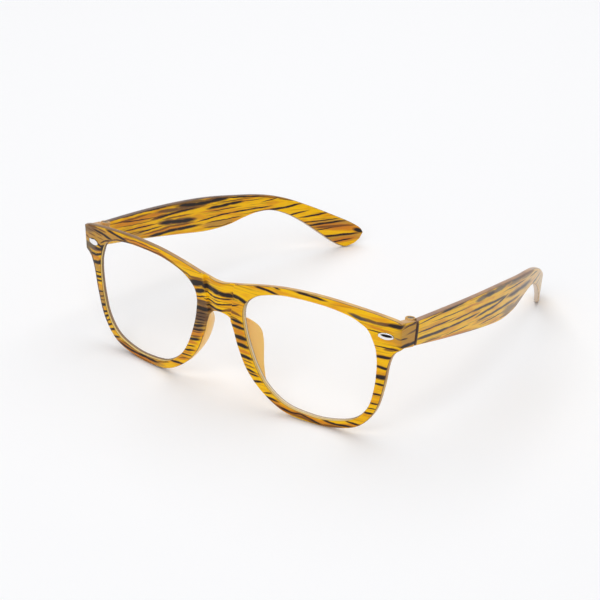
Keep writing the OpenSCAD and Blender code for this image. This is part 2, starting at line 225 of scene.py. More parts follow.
sections = []
for i in range(count):
    sections.append([on_front(0.0 if abs(p[0]) < 1e-3 else p[0], p[1], p[2]) for p in rim_section(i)])
size = len(sections[0])
verts = [p for section in sections for p in section]
to_mirrored = len(verts)
verts += [Vector((-p[0], p[1], p[2])) for p in verts]
faces = []
for i in range(count):
    for j in range(size):
        here, after = i * size, (i + 1) % count * size
        quad = [here + j, after + j, after + (j + 1) % size, here + (j + 1) % size]
        if all(verts[k][0] < 1e-6 for k in quad):
            continue
        faces.append(quad)
        faces.append([to_mirrored + k for k in reversed(quad)])
front = new_solid("front", verts, faces)

# The bridge lies a little behind the rims: a crease on each side, then a slow rise to the middle
CREASE_LOW, CREASE_HIGH = Vector((5.4, 33.6)), Vector((7.2, 46.5))
CREASE_RECESS, CREASE_RUN, CREASE_STEP = 0.85, 5.0, 0.45
CREASE_CUTS = (0, 0.1, 0.22, 0.34, CREASE_STEP, 0.9, 1.6, 2.4, 3.3, 4.3, 5.2)
BRIDGE_HALF, BRIDGE_LOW, BRIDGE_DEPTH, CUT_REACH = 9, 30, 1.4, 0.013
FRONT_REGIONS = (-90, -55, -26, -9, 9, 26, 55, 90)  # the film is laid in stretches that meet here
crease_way = CREASE_HIGH - CREASE_LOW


def ease(t):
    t = min(1.0, max(0.0, t))
    return t * t * (3 - 2 * t)


def recess(x, z):
    inside = CREASE_LOW[0] + (z - CREASE_LOW[1]) * crease_way[0] / crease_way[1] - abs(x)
    return CREASE_RECESS * ease(inside / CREASE_STEP) * (1 - ease((inside - CREASE_STEP) / CREASE_RUN))


def cut_line(shape, parts, place, across):
    """Cuts the faces along a plane without parting them."""
    bmesh.ops.bisect_plane(shape, geom=parts, dist=1e-7, plane_co=Vector(place) * MM, plane_no=across)


shape = bmesh.new()
shape.from_mesh(front.data)
lean = atan2(*crease_way)
for side in (1, -1):
    for inside in CREASE_CUTS:
        near = [f for f in shape.faces if abs(f.calc_center_median()[0]) < CUT_REACH]
        parts = near + list({e for f in near for e in f.edges}) + list({v for f in near for v in f.verts})
        cut_line(shape, parts, (side * (CREASE_LOW[0] - inside), 0, CREASE_LOW[1] + LIFT),
                 (side * cos(lean), 0, -sin(lean)))
for v in shape.verts:
    x, y, z = v.co[0] / MM, v.co[1] / MM + CENTRE_Y, v.co[2] / MM - LIFT
    level = z * cos(TILT) - y * sin(TILT)
    depth = z * sin(TILT) + y * cos(TILT) - x * x / 2 / BOW
    if abs(x) < BRIDGE_HALF and level > BRIDGE_LOW and depth < BRIDGE_DEPTH:
        v.co[1] += recess(x, level) * MM * (1 - max(0.0, depth) / BRIDGE_DEPTH)
for edge in FRONT_REGIONS[4:-1]:
    for side in (1, -1):
        cut_line(shape, shape.verts[:] + shape.edges[:] + shape.faces[:], (side * edge, 0, 0), (1, 0, 0))
shape.to_mesh(front.data)
shape.free()


def keep_inside(obj):
    """Holds a piece within the outer limits of the construction."""
    for v in obj.data.vertices:
        for k in range(3):
            v.co[k] = min(cad_box[1][k], max(cad_box[0][k], v.co[k]))


keep_inside(front)

# End pieces with their knuckles are joined to the rims, at the place of the left joint and its mirror image
HINGE_SIDE, HINGE_BEHIND, HINGE_HEIGHT = 70.5, 14.8, 40.9175
HINGE = Vector((HINGE_SIDE, HINGE_BEHIND - CENTRE_Y, HINGE_HEIGHT))
SLOPE = radians(7.97129)  # of the hinge axis, its upper end to the back
HINGE_GAP = 0.8
KNUCKLE_R, KNUCKLE_TOP, KNUCKLE_LOW, KNUCKLE_ROOM = 1.9, 2.1, 1.3, 0.3
BARREL_TOP, BARREL_LOW, BARREL_EDGE, POCKET_PLAY = 5.4, -3.1, 0.25, 0.15
WEB_WIDE, WEB_REACH, WEB_SINK = KNUCKLE_R * 0.9, 2.4, 0.25
END_ROOT, END_SINK, END_SHRINK = 4.0, 0.04, 0.97
END_IN, TEMPLE_OUT = -0.6, 3.0  # measured outward from the hinge axis
END_RISE, END_DROP = 4.95, 4.45
SEAT_R, SEAT_DEPTH = 1.22, 0.9
at_hinge = Matrix.Translation(HINGE) @ Matrix.Rotation(-SLOPE, 4, "X")
to_right = Matrix.Scale(-1, 4, (1, 0, 0))


def plate(low, high, r, steps=4):
    """Rectangle with rounded corners as a list of points."""
    out = []
    for k, c in enumerate([(high[0] - r, high[1] - r), (low[0] + r, high[1] - r),
                           (low[0] + r, low[1] + r), (high[0] - r, low[1] + r)]):
        for j in range(steps + 1):
            t = pi / 2 * (k + j / steps)
            out.append(Vector((c[0] + r * cos(t), c[1] + r * sin(t))))
    return out


def skin(rows, size):
    """Faces between neighbouring closed sections of equal size."""
    quads = []
    for i in range(rows - 1):
        for j in range(size):
            k = (j + 1) % size
            quads.append([i * size + j, i * size + k, (i + 1) * size + k, (i + 1) * size + j])
    return quads


def loft(name, rows):
    """Skin over closed sections of equal size, with closed ends."""
    size = len(rows[0])
    faces = skin(len(rows), size)
    faces.append(list(range(size))[::-1])
    faces.append([(len(rows) - 1) * size + j for j in range(size)])
    return new_solid(name, [p for row in rows for p in row], faces)


def drum(name, r, low, high, chamfer=0.0, steps=64):
    """Round solid along the hinge axis, given in the hinge's own frame."""
    turns = [2 * pi * k / steps for k in range(steps)]
    rows = []
    for radius, z in ((r - chamfer, low), (r, low + chamfer), (r, high - chamfer), (r - chamfer, high)):
        rows.append([Vector((radius * cos(t), radius * sin(t), z)) for t in turns])
    return loft(name, rows)


def box_solid(name, low, high):
    corners = ((low[0], low[1]), (high[0], low[1]), (high[0], high[1]), (low[0], high[1]))
    return loft(name, [[Vector((x, y, z)) for x, y in corners] for z in (low[2], high[2])])


def place(obj, matrix, mirror=False):
    """Moves a solid made in millimetres in a local frame into the shared frame."""
    full = Matrix.Scale(MM, 4) @ matrix @ Matrix.Scale(1 / MM, 4)
    if mirror:
        full = to_right @ full
    obj.data.transform(full)
    if mirror:
        obj.data.flip_normals()
    obj.data.update()
    return obj


def combine(obj, other, how):
    """Joins or cuts one solid with another, which is used up."""
    joining = obj.modifiers.new("combine", "BOOLEAN")
    joining.operation = how
    joining.solver = "MANIFOLD"
    joining.object = other
    graph = bpy.context.evaluated_depsgraph_get()
    made = bpy.data.meshes.new_from_object(obj.evaluated_get(graph))
    obj.modifiers.remove(joining)
    old = obj.data
    obj.data = made
    bpy.data.meshes.remove(old)
    bpy.data.objects.remove(other)


def smooth_by_angle(obj, degrees):
    for p in obj.data.polygons:
        p.use_smooth = True
    obj.data.set_sharp_from_angle(angle=radians(degrees))


for mirror in (False, True):
    root = plate((HALF - END_ROOT, END_LOW + END_SINK), (HALF - END_SINK, END_TOP - END_SINK), EDGE)
    rear = plate((END_IN, -END_DROP), (TEMPLE_OUT, END_RISE), EDGE)
    start = [on_front(p[0], RIM_DEPTH * 0.5, p[1]) for p in root]
    wide = [at_hinge @ Vector((p[0], -HINGE_GAP / 2, p[1])) for p in rear]
    slim = [at_hinge @ Vector((p[0] * END_SHRINK + 1 - END_SHRINK, -HINGE_GAP / 2, p[1] * END_SHRINK))
            for p in rear]
    # the last rows round off the edge of the cut face
    nearly = [p.lerp(q, 0.4) for p, q in zip(wide, slim)]
    rows = [start, [p.lerp(q, 0.97) for p, q in zip(start, wide)],
            [p.lerp(q, 0.995) for p, q in zip(start, nearly)], slim]
    combine(front, place(loft("end", rows), Matrix.Identity(4), mirror), "UNION")
    barrel = drum("barrel", KNUCKLE_R, BARREL_LOW, BARREL_TOP, BARREL_EDGE)
    web = box_solid("web", (0, -WEB_REACH, BARREL_LOW + WEB_SINK), (WEB_WIDE, 0, BARREL_TOP - WEB_SINK))
    pocket = drum("pocket", KNUCKLE_R + KNUCKLE_ROOM, -KNUCKLE_LOW - POCKET_PLAY, KNUCKLE_TOP + POCKET_PLAY)
    seat = drum("seat", SEAT_R, BARREL_TOP - SEAT_DEPTH, BARREL_TOP + 1)
    for solid, how in ((barrel, "UNION"), (web, "UNION"), (pocket, "DIFFERENCE"), (seat, "DIFFERENCE")):
        combine(front, place(solid, at_hinge, mirror), how)
smooth_by_angle(front, 38)
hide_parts("front_frame")
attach(front, "front")


def feed(tree, socket, value):
    """Links a socket to another node's output, or sets it to a plain value."""
    if isinstance(value, bpy.types.NodeSocket):
        tree.links.new(value, socket)
    elif value is not None:
        socket.default_value = value


def add_node(tree, kind, *values, **settings):
    """A new node of the named kind, with its first sockets fed in turn."""
    node = tree.nodes.new("ShaderNode" + kind)
    for key, value in settings.items():
        setattr(node, key, value)
    for socket, value in zip(node.inputs, values):
        feed(tree, socket, value)
    return node


def maths(tree, how, *values):
    return add_node(tree, "Math", *values, operation=how).outputs[0]


def times(tree, first, second):
    return maths(tree, "MULTIPLY", first, second)


def vector_node(tree, how, *values):
    return add_node(tree, "VectorMath", *values, operation=how).outputs["Vector"]


def dot(tree, first, second):
    return add_node(tree, "VectorMath", first, second, operation="DOT_PRODUCT").outputs["Value"]


def xyz(tree, *values):
    return add_node(tree, "CombineXYZ", *values).outputs[0]


def rise(tree, value, low, high):
    """Rises softly from 0 at low to 1 at high, or falls where low is the greater."""
    return add_node(tree, "MapRange", value, low, high, interpolation_type="SMOOTHSTEP").outputs["Result"]


def noise(tree, vector, scale, detail=2.0, roughness=0.5):
    return add_node(tree, "TexNoise", vector, None, scale, detail, roughness).outputs["Fac"]


def fine_noise(tree, scale, detail=2.0):
    return noise(tree, add_node(tree, "TexCoord").outputs["Object"], scale, detail)


def mix(tree, share, first, second):
    node = add_node(tree, "Mix", share, data_type="RGBA")
    feed(tree, node.inputs[6], first)
    feed(tree, node.inputs[7], second)
    return node.outputs[2]


def srgb(r, g, b):
    """A colour written as it shows, 0 to 255."""
    return (*(((c / 255 + 0.055) / 1.055) ** 2.4 if c > 10 else c / 255 / 12.92 for c in (r, g, b)), 1)


def new_material(name, values):
    """A material, its node tree and the sockets of its main shader, set to the values."""
    material = bpy.data.materials.new(name)
    material.use_nodes = True
    tree = material.node_tree
    sockets = tree.nodes["Principled BSDF"].inputs
    for key, value in values.items():
        sockets[key].default_value = value
    return material, tree, sockets


# The stripes of the film are strokes, and each stroke is a chain of slim ellipses that overlap at its bends
FREE_END, BEND_END = 0.05, 0.27
ELLIPSE_END, ELLIPSE_HALF = 0.6, 0.56


def strokes(*rows):
    """Ellipses for the listed strokes: middle, slope, half length and half thickness of each.
    A row holds the thickness of a stroke and then the two places of each of its points, in millimetres."""
    out = []
    for thick, *places in rows:
        points = [Vector(p) for p in zip(places[::2], places[1::2])]
        for k in range(len(points) - 1):
            way = points[k + 1] - points[k]
            first = points[k] - way * (FREE_END if k == 0 else BEND_END)
            last = points[k + 1] + way * (FREE_END if k == len(points) - 2 else BEND_END)
            middle = (first + last) / 2
            out.append((middle[0], middle[1], atan2(way[1], way[0]),
                        (last - first).length / 2 + thick * ELLIPSE_END, thick * ELLIPSE_HALF))
    return out


def stroke_height(tree, spot, marks):
    """1 on the middle line of the nearest stroke, 0 on its edge and below 0 outside."""
    nearest = None
    for x, y, angle, long, thick in marks:
        node = add_node(tree, "Mapping", spot, (x, y, 0), (0, 0, angle), (long, thick, 1),
                        vector_type="TEXTURE")
        own = dot(tree, node.outputs["Vector"], node.outputs["Vector"])
        nearest = own if nearest is None else maths(tree, "MINIMUM", nearest, own)
    return maths(tree, "SUBTRACT", 1.0, nearest)


PRINT_YELLOW = srgb(255, 197, 0)
PRINT_GOLD = srgb(236, 164, 14)
PRINT_BROWN = srgb(112, 68, 30)
PRINT_UMBER = srgb(98, 70, 50)
PRINT_DARK = srgb(40, 31, 26)
# inks under the dark one: name, colour, the stroke heights where it begins and is full, and its cover
INKS = (("tan", srgb(192, 142, 60), -0.2, 0.8, 0.9), ("grey", srgb(126, 98, 72), 0.0, 0.9, 0.85),
        ("amber", srgb(214, 126, 30), -0.1, 0.9, 0.8), ("brown", PRINT_BROWN, -0.1, 0.7, 0.85),
        ("umber", PRINT_UMBER, -0.1, 0.8, 0.9), ("slate", srgb(84, 78, 70), -0.1, 0.7, 0.9))


WAVER = 0.8  # of the ink lines, in millimetres, and of their ragged edges
GRAIN_SCALE, GRAIN_STRENGTH, GRAIN_DEPTH = 900.0, 0.12, 0.0001


def striped_plastic(name, marks, axes, printed, bare, seed, pale=None, shine=0.2):
    """Amber plastic under a printed film. marks holds the strokes of each ink, axes gives the place on the
    film in millimetres, printed the share of film, and bare the colour of the plastic beside it."""
    material, tree, sockets = new_material(name, {
        "Roughness": 0.3, "IOR": 1.5, "Specular IOR Level": shine, "Subsurface Weight": 0.12,
        "Subsurface Radius": (1.0, 0.55, 0.2), "Subsurface Scale": 0.0015})
    u, v = axes(tree)

    def film_noise(along, across, lift, detail=2.0, roughness=0.5):
        spread = xyz(tree, times(tree, u, along), times(tree, v, across), seed + lift)
        return noise(tree, spread, 1.0, detail, roughness)

    drift = maths(tree, "MULTIPLY_ADD", film_noise(0.16, 0.22, 0), WAVER, -WAVER / 2)
    ragged = maths(tree, "MULTIPLY_ADD", film_noise(0.22, 2.4, 3, 3.0, 0.6), WAVER, -WAVER / 2)
    spot = xyz(tree, u, maths(tree, "ADD", v, drift))

    def ink_height(ink):
        return maths(tree, "ADD", stroke_height(tree, spot, marks[ink]), ragged)

    cloud = film_noise(0.07, 0.36, 7)
    colour = mix(tree, rise(tree, cloud, 0.45, 0.66), PRINT_YELLOW, PRINT_GOLD)
    if pale:
        colour = mix(tree, times(tree, rise(tree, u, *pale[0]), 0.5), colour, pale[2])
    fine = times(tree, rise(tree, film_noise(0.05, 1.5, 11, 3.0, 0.55), 0.54, 0.66), 0.5)
    colour = mix(tree, fine, colour, PRINT_BROWN)
    for ink, tint, low, high, cover in INKS:
        if marks.get(ink):
            share = times(tree, rise(tree, ink_height(ink), low, high), cover)
            colour = mix(tree, share, colour, tint)
    if marks.get("dark"):
        height = ink_height("dark")
        colour = mix(tree, times(tree, rise(tree, height, -0.9, 0.2), 0.72), colour, PRINT_BROWN)
        colour = mix(tree, rise(tree, height, 0.02, 0.6), colour, PRINT_DARK)
    if pale:
        colour = mix(tree, times(tree, rise(tree, u, *pale[1]), 0.62), colour, pale[2])
    share = printed(tree)
    colour = mix(tree, share, bare(tree), colour)
    # a darker line along the edge of the film
    edge_line = times(tree, rise(tree, share, 0.02, 0.3),
                      maths(tree, "SUBTRACT", 1.0, rise(tree, share, 0.8, 1.0)))
    colour = mix(tree, times(tree, edge_line, 0.75), colour, PRINT_UMBER)
    feed(tree, sockets["Base Color"], colour)
    bump = add_node(tree, "Bump")
    feed(tree, bump.inputs["Strength"], GRAIN_STRENGTH)
    feed(tree, bump.inputs["Distance"], GRAIN_DEPTH)
    feed(tree, bump.inputs["Height"], fine_noise(tree, GRAIN_SCALE))
    feed(tree, sockets["Normal"], bump.outputs["Normal"])
    return material


def in_millimetres(tree, origin):
    """The place from an origin in the shared frame, in millimetres, and the normal."""
    coords = add_node(tree, "TexCoord")
    scaled = vector_node(tree, "SCALE", coords.outputs["Object"])
    scaled.node.inputs["Scale"].default_value = 1 / MM
    return vector_node(tree, "SUBTRACT", scaled, origin), coords.outputs["Normal"]


def front_place(tree):
    """Width, depth behind the printed face and height on it, in millimetres, and the normal."""
    p, normal = in_millimetres(tree, (0, -CENTRE_Y, LIFT))
    x = dot(tree, p, (1, 0, 0))
    y = dot(tree, p, (0, cos(TILT), sin(TILT)))
    z = dot(tree, p, (0, -sin(TILT), cos(TILT)))
    return x, maths(tree, "SUBTRACT", y, times(tree, times(tree, x, x), 0.5 / BOW)), z, normal


def front_axes(tree):
    """Width across the face, running on along the end pieces, and height on the face, in millimetres."""
    x, depth, z, _ = front_place(tree)
    along = times(tree, maths(tree, "SIGN", x), maths(tree, "MAXIMUM", depth, 0.0))
    past_corner = rise(tree, maths(tree, "ABSOLUTE", x), HALF - 1.2, HALF - 0.3)
    return maths(tree, "ADD", x, times(tree, along, past_corner)), z


BARREL_SHOULDER = 45.7  # the film ends at this height beside a knuckle


def front_film(tree):
    """The film lies on the printed face and on the outer sides of the end pieces."""
    x, depth, z, normal = front_place(tree)
    forward = times(tree, dot(tree, normal, (0, 1, 0)), -1.0)
    wide = maths(tree, "ABSOLUTE", x)
    crease = times(tree, rise(tree, wide, 8.6, 8.2), rise(tree, wide, 4.2, 4.8))
    crease = times(tree, crease, rise(tree, forward, 0.02, 0.15))
    face = maths(tree, "MAXIMUM", rise(tree, forward, 0.1, 0.8), crease)
    side = maths(tree, "ABSOLUTE", dot(tree, normal, (1, 0, 0)))
    side = times(tree, rise(tree, side, 0.5, 0.8), rise(tree, wide, HALF - 0.9, HALF - 0.5))
    low = rise(tree, z, BARREL_SHOULDER + 0.15, BARREL_SHOULDER - 0.15)
    side = times(tree, side, maths(tree, "MAXIMUM", low, rise(tree, depth, 8.0, 7.0)))
    return maths(tree, "MAXIMUM", times(tree, face, rise(tree, depth, 1.3, 1.0)), side)


LENS_MID = Vector((37.5, 26.3))
PAD_AMBER = srgb(255, 203, 96)


def mottled(tree, x, y, first, second):
    """Plastic whose colour drifts between two shades."""
    return mix(tree, rise(tree, noise(tree, xyz(tree, x, y), 1.0), 0.4, 0.6), first, second)


def front_bare(tree):
    """Bare plastic: greyish on the outer walls, with painted shade to the wearer's right, cream in the
    openings, clear amber on pads and back.
    """
    x, depth, z, normal = front_place(tree)
    near_face = rise(tree, depth, 3.4, 2.8)
    colour = mottled(tree, times(tree, x, 0.12), times(tree, z, 0.12),
                     srgb(218, 178, 104), srgb(196, 150, 92))
    # painted shade: the bare walls near the face darken towards the wearer's right
    wall_painted_shade = times(tree, rise(tree, x, 5.0, -50.0), near_face)
    colour = mix(tree, wall_painted_shade, colour, srgb(126, 90, 46))
    wide = maths(tree, "SUBTRACT", maths(tree, "ABSOLUTE", x), LENS_MID[0])
    from_lens = xyz(tree, times(tree, wide, maths(tree, "SIGN", x)), 0.0,
                    maths(tree, "SUBTRACT", z, LENS_MID[1]))
    inward = rise(tree, times(tree, dot(tree, from_lens, normal), -1.0), 2.0, 8.0)
    colour = mix(tree, times(tree, inward, near_face), colour, srgb(236, 206, 128))
    turned_back = rise(tree, dot(tree, normal, (0, 1, 0)), 0.2, 0.7)
    colour = mix(tree, times(tree, turned_back, 0.8), colour, PAD_AMBER)
    nasal = times(tree, rise(tree, wide, -14.0, -18.0), rise(tree, z, 36.0, 33.5))
    return mix(tree, times(tree, rise(tree, depth, 0.3, 1.0), nasal), colour, PAD_AMBER)


front_marks = {
    "dark": strokes(
        # bridge
        (2, -7, 42.6, -5, 42.3, -3, 42.1, 0, 41.7), (1.6, 0, 41.7, 3, 41.6, 5.6, 41.6),
        (1.4, 6.3, 42.5, 9, 42.3, 12.5, 41.1), (0.5, -6.5, 40.3, -3, 39.4, 1, 39.6, 5, 40.2),
        (0.55, -6.5, 37.6, -2, 36.9, 1.5, 37.2, 5, 38, 8.6, 39.4), (0.9, -5.6, 35.2, -2, 34.6, 1.5, 34.7),
        # nasal side of the rim on the wearer's left, then its lower bar
        (1.1, 5.6, 32.9, 10.4, 32.6), (1.3, 6, 30.5, 11, 30.3), (1.7, 6.8, 26.5, 11.8, 26.2),
        (1.5, 7.8, 23.5, 12.6, 23.2), (1.3, 9, 19.5, 13.8, 18.9), (0.8, 12, 14.5, 15.3, 14),
        (0.6, 13.3, 13.1, 16.7, 12.7), (0.8, 14.7, 10.2, 18.4, 10.8), (0.5, 20, 6.9, 22.5, 7.5),
        (0.8, 19.4, 5.6, 25, 4.9), (0.65, 26, 3, 31, 2.2, 35, 2.4, 39, 1.6, 43, 0.7),
        (0.8, 44.4, 2.6, 49, 2.2, 55, 3), (0.7, 53.3, 4.7, 58.3, 4.4), (0.55, 80.6, 36.4, 82, 45.6),
        (0.55, -80.6, 36.4, -82, 45.6),
        # its upper bar and corner
        (0.9, 17, 48.7, 21, 48.5, 25.3, 48), (0.4, 24, 50.3, 26.7, 50.2),
        (0.8, 33.6, 50.9, 39, 50.7, 44.4, 50.2), (0.4, 61, 43, 65.5, 42.7), (1.7, 68.6, 46.3, 73.4, 46.2),
        # its outer side
        (0.45, 63.6, 37.4, 71.6, 37.2), (1.1, 64, 33.5, 69.6, 33.8), (1, 64.2, 29.6, 68.6, 29.1),
        (1.7, 64, 25.5, 68, 25.8), (0.9, 64, 22.6, 67, 22.6), (0.7, 63, 18.4, 66.1, 18.4),
        (0.6, 62, 14.5, 64.8, 14.5), (0.4, 61.2, 12.2, 64, 12.3), (0.8, 60, 10.2, 63, 10.3),
        # end pieces, past the corners
        (1.2, 73, 38.6, 78, 37.9, 86, 37.4), (0.5, 72.8, 41.5, 76, 40.8), (0.35, 73.6, 45, 86, 45.4),
        (1.1, -73, 38.6, -79, 38, -86, 37.5), (0.8, -73, 43, -80, 43.3),
        # upper bar on the wearer's right
        (1, -66.5, 47.2, -60.5, 46.9, -56, 46.3), (1, -57.8, 49.6, -53, 49.2, -47, 48.7),
        (0.5, -62.5, 42.8, -60, 44.4, -57.5, 45.5), (0.35, -52, 47.5, -43, 48.9),
        (0.35, -40, 49, -29, 48.9),
        # its outer side
        (1, -65.6, 41.8, -62.6, 41.2, -60.8, 42), (1.1, -66.5, 39.5, -63, 39.9, -61.5, 40.9),
        (1, -69, 36.6, -66, 36.8, -62.6, 38.2), (1.5, -68.6, 33.2, -65, 33.7, -62.8, 34.9),
        (0.5, -67.6, 29.2, -63.8, 29.7), (1, -67.6, 27.2, -63.8, 28), (0.8, -67.2, 25.6, -63.6, 26.3),
        (0.6, -66.6, 20.8, -63.2, 21.8), (0.5, -66.2, 19, -62.8, 20), (0.35, -65.8, 17.6, -62.4, 18.4),
        (1.2, -65.4, 15.4, -62.2, 16.5), (0.8, -65, 12.4, -61.4, 14), (0.8, -64, 10.8, -60.4, 12.7),
        (0.6, -63, 9.3, -59.6, 11), (0.75, -62, 7.6, -58.6, 9.4), (0.9, -61, 6, -57.2, 7.6),
        # its lower bar
        (0.9, -55, 3.2, -50, 2.4, -44, 2.1, -38, 2, -33, 2.2), (0.85, -25, 5.8, -19, 6.6),
        (0.7, -58.5, 4.2, -54.8, 5),
        # its nasal side
        (0.6, -19.5, 10.7, -14.6, 11.4), (0.7, -17.6, 13.2, -13.4, 14), (0.45, -16.2, 15.2, -12.6, 16),
        (1.1, -14.8, 18.4, -10.4, 19.6), (0.9, -13.6, 23, -8.2, 24), (1.1, -13, 24.9, -7.8, 26),
        (0.5, -12.4, 26.4, -7.2, 27.3), (0.6, -12.2, 27.8, -7, 28.6), (0.45, -12, 29.2, -6.6, 29.9),
        (0.5, -11.8, 30.8, -6, 31.3), (1.8, -11.2, 32.8, -5, 33.2), (0.5, -11, 37.3, -6.8, 38.3),
        (1.6, -11, 39.5, -7, 40.5), (2.3, -13.5, 42.2, -7.2, 43.4)),
    "brown": strokes(
        (1.2, 1.5, 34.7, 5, 35.8, 9.6, 35.4), (0.6, 3.4, 34.1, 9.4, 33.4), (0.5, 10.2, 17.8, 14.8, 17.3),
        (0.5, 11, 16.3, 15.6, 15.8), (1.4, 67, 36.6, 71.4, 37.4), (0.45, 0, 40.7, 4, 40.9, 9, 41.1),
        (0.4, -4, 38.3, 1, 38.3), (1, 74, 45.6, 86, 44.6), (0.8, -70.5, 48, -64, 48.4, -59, 48.4),
        (0.7, -44, 48.7, -34, 48.9, -27, 48.4, -20, 46.7, -15, 44.4), (0.6, -70.6, 44.6, -66, 44.4),
        (1.1, 17, 6.2, 24, 3.4, 32, 1.5, 44, 0.6, 54, 1.6), (0.5, -50, 49.2, -40, 50.2, -28, 50),
        (0.5, -71, 46.6, -66, 46.2, -61.6, 45.8), (0.4, -65, 44.6, -61, 44.6),
        (0.8, -72, 43.2, -70.6, 42.6), (0.7, -54, 4.1, -46, 3.3, -38, 3.2),
        (0.6, -33, 2.3, -30, 3.4, -26, 4.6), (0.9, -14.3, 19.8, -9.6, 20.9), (0.6, -13.8, 22, -8.6, 22.9),
        (0.5, -21, 8.7, -16.4, 9.6), (0.5, -52, 0.9, -34, 0.5), (0.7, -11.2, 35.7, -5.8, 36.5),
        (1, -13.8, 44.3, -7.2, 45), (0.8, -19.5, 46.2, -16, 45.4, -12.5, 44.3),
        (0.5, -30, 49.4, -20, 47.4)),
    "amber": strokes(
        (3.4, -14.6, 21.2, -9, 22), (1.6, -16.6, 17, -11.6, 17.6), (1.2, -18.6, 12, -14, 12.6),
        (1, -22, 8, -17, 9), (2.2, 20, 5, 30, 2.4, 42, 1.4, 54, 2),
        (1.8, -50, 49.6, -34, 49.8, -22, 47.8), (1.3, 5.6, 31.6, 10.8, 31.6),
        (2.2, 6.4, 28.6, 11.6, 28.5), (1.2, 7.4, 24.9, 12.4, 24.8), (1.6, 8.6, 21.2, 13.4, 21),
        (1.4, -67.6, 24, -64, 24), (1, -13.8, 21.8, -8.7, 22.2), (2, 17, 4.4, 32, 1.2),
        (1.6, 46, 1, 60, 5), (1.2, 60, 44.6, 70, 43.4), (1.2, -70, 38.4, -62.6, 38.9),
        (1.8, -69.4, 35.4, -63, 35.6), (3, -58, 3.4, -46, 1.6, -34, 1.2)),
    "tan": strokes(
        # the broad tan strokes over the end pieces are painted shade of their side faces
        (9, 74, 41.8, 88, 41.2), (9, -74, 41.8, -88, 41.2), (8, -73.5, 44, -66, 45, -59, 46),
        (2.6, -68.4, 31.4, -63.6, 31.6), (7, -67, 19.5, -62.4, 19.5), (2.2, -61, 46.6, -50, 48.4),
        (3.4, -59, 4.4, -52, 2.4, -42, 1.5, -30, 1.9)),
    "umber": strokes(
        (1.6, 54, 47.6, 58, 46.6, 64, 46, 70, 46.3), (1, 76, 42.2, 87, 42.6),
        (4.6, -12.2, 29.6, -6, 29.8), (2.4, -11.2, 35.4, -5.4, 35.6),
        (0.6, -13.4, 42, -11, 38, -10.8, 34),
        (1.2, -68.9, 35.6, -67.9, 31.6, -67, 27, -66.2, 22, -65.2, 17, -63.4, 12, -60.9, 8.4),
        (0.8, -62.2, 41.4, -62.8, 37, -63.2, 33), (0.9, -58.6, 44.6, -53, 47, -43, 48.7)),
    "slate": strokes(
        # the broad slate strokes at the corner on the wearer's right are painted shade
        (3, -73.4, 39.5, -69.5, 39.6, -66, 39.4), (2.4, -72.4, 37.8, -69.2, 36.4),
        (0.9, -72.4, 47.4, -72.6, 44), (3, -74, 40, -86, 39), (1.2, 55.4, 47, 60, 46)),
    "grey": strokes(
        # the broad grey patch at the upper corner on the wearer's right is painted shade
        (0.8, 70.6, 41.8, 72.6, 41.4), (13, -12.4, 30, -5.6, 30.5), (3.6, -73, 45.6, -66, 47.6),
        (3, -13.4, 23.6, -7.8, 24.4))}


def dress(obj, *materials):
    """Gives a piece its materials in their order."""
    obj.data.materials.clear()
    for material in materials:
        obj.data.materials.append(material)


# The cut faces at the hinges look into the narrow gap and are painted dark red-brown as painted shade
gap_painted_shade, tree, sockets = new_material("gap_painted_shade", {"Roughness": 0.6})
shade = mix(tree, fine_noise(tree, 1500.0, 3.0), srgb(84, 36, 16), srgb(50, 22, 12))
feed(tree, sockets["Base Color"], shade)
GAP_REACH = HINGE_GAP / 2 + 0.06
along_temple = Vector((0, cos(SLOPE), -sin(SLOPE)))


def unmirrored(p):
    return Vector((abs(p[0]), p[1], p[2])) / MM


def lay_film(obj, name, regions, along, marks, *looks):
    """Covers a piece with film in stretches, where along tells how far a place lies on it. The faces that
    look into the gap at a hinge get painted shade instead of film."""
    films = []
    for number, (low, high) in enumerate(zip(regions, regions[1:]), 1):
        near = {ink: [q for q in rows if q[0] + q[3] > low - WAVER and q[0] - q[3] < high + WAVER]
                for ink, rows in marks.items()}
        films.append(striped_plastic(f"{name}_{number}", near, *looks))
    dress(obj, *films, gap_painted_shade)
    from_hinge = at_hinge.inverted()
    for p in obj.data.polygons:
        in_gap = abs((from_hinge @ unmirrored(p.center))[1]) < GAP_REACH
        if in_gap and abs(p.normal.dot(along_temple)) > 0.8:
            p.material_index = len(films)
        else:
            p.material_index = sum(along(p.center / MM) > edge for edge in regions[1:-1])


lay_film(front, "striped_front", FRONT_REGIONS, lambda place: place[0], front_marks,
         front_axes, front_film, front_bare, 1.0)

# Lenses: clear moulded plastic, a little crowned, with a ground bevel that snaps
# into the groove of the rim.
CROWN, LENS_HALF = 0.9, 0.5
LENS_GAP, BEVEL_REACH = 0.1, 0.5
LENS_RINGS = [1.0, 0.985, 0.9, 0.75, 0.6, 0.45, 0.3, 0.15]
clear_lens, tree, sockets = new_material("clear_lens", {
    "Base Color": (0.97, 0.98, 0.98, 1), "Roughness": 0.02, "IOR": 1.5, "Alpha": 0.04})
ground_edge, tree, sockets = new_material("ground_edge", {"Roughness": 0.4})
# painted shade: the edge darkens beside the middle of its bevel, and on the wearer's right side
x, depth, _, _ = front_place(tree)
from_middle = maths(tree, "ABSOLUTE", maths(tree, "SUBTRACT", depth, LENS_DEPTH))
right_painted_shade = rise(tree, x, 5.0, -5.0)
pale_edge = mix(tree, right_painted_shade, srgb(238, 222, 190), srgb(170, 140, 112))
bevel_side_painted_shade = mix(tree, right_painted_shade, srgb(150, 120, 92), srgb(108, 80, 66))
beside_bevel = rise(tree, from_middle, 0.3, 0.42)
feed(tree, sockets["Base Color"], mix(tree, beside_bevel, pale_edge, bevel_side_painted_shade))


